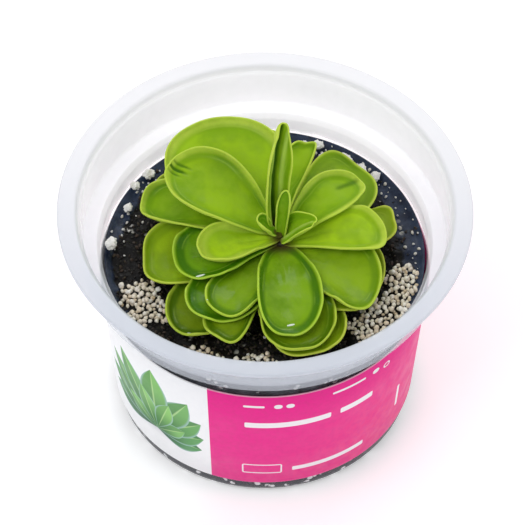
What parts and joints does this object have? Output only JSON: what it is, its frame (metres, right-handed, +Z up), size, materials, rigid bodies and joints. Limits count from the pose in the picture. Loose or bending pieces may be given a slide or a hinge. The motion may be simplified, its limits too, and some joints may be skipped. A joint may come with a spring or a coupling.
{
  "type": "potted butterwort",
  "caption": "Rosette of thick oval leaves rooted in wet peat with pale granules, in a tapered clear plastic cup with a paper sleeve.",
  "frame": {"origin": "centre of the cup's base, on the surface it stands on", "axes": "+Z up along the cup's axis, -Y towards the front of the sleeve"},
  "size_m": [0.115, 0.115, 0.0941],
  "materials": {
    "cup": "clear, faintly frosted polypropylene",
    "label_sleeve": "coated printed paper, deep pink with a white panel",
    "soil": "wet black peat",
    "granules": "pale rounded grit",
    "perlite": "white porous perlite",
    "crown": "soft dark plant tissue",
    "leaf": "fleshy glossy green leaf with a paler margin"
  },
  "bodies": {
    "root": {"cup": "cup", "label_sleeve": "label_sleeve", "soil": "soil", "crown": "crown", "leaf_01": "leaf", "leaf_02": "leaf", "leaf_03": "leaf", "leaf_04": "leaf", "leaf_05": "leaf", "leaf_06": "leaf", "leaf_07": "leaf", "leaf_08": "leaf", "leaf_09": "leaf", "leaf_10": "leaf", "leaf_11": "leaf", "leaf_12": "leaf", "leaf_13": "leaf", "leaf_14": "leaf", "leaf_15": "leaf", "leaf_16": "leaf", "leaf_17": "leaf", "leaf_18": "leaf", "leaf_19": "leaf", "leaf_20": "leaf", "leaf_21": "leaf", "leaf_22": "leaf", "leaf_23": "leaf", "leaf_24": "leaf", "leaf_25": "leaf", "leaf_26": "leaf", "perlite_01": "perlite", "perlite_02": "perlite", "perlite_03": "perlite", "perlite_04": "perlite", "perlite_05": "perlite", "perlite_06": "perlite", "perlite_07": "perlite", "perlite_08": "perlite", "perlite_09": "perlite", "perlite_10": "perlite", "perlite_11": "perlite", "granules_left": "granules", "granules_front": "granules", "granules_right": "granules"}
  },
  "joints": []
}
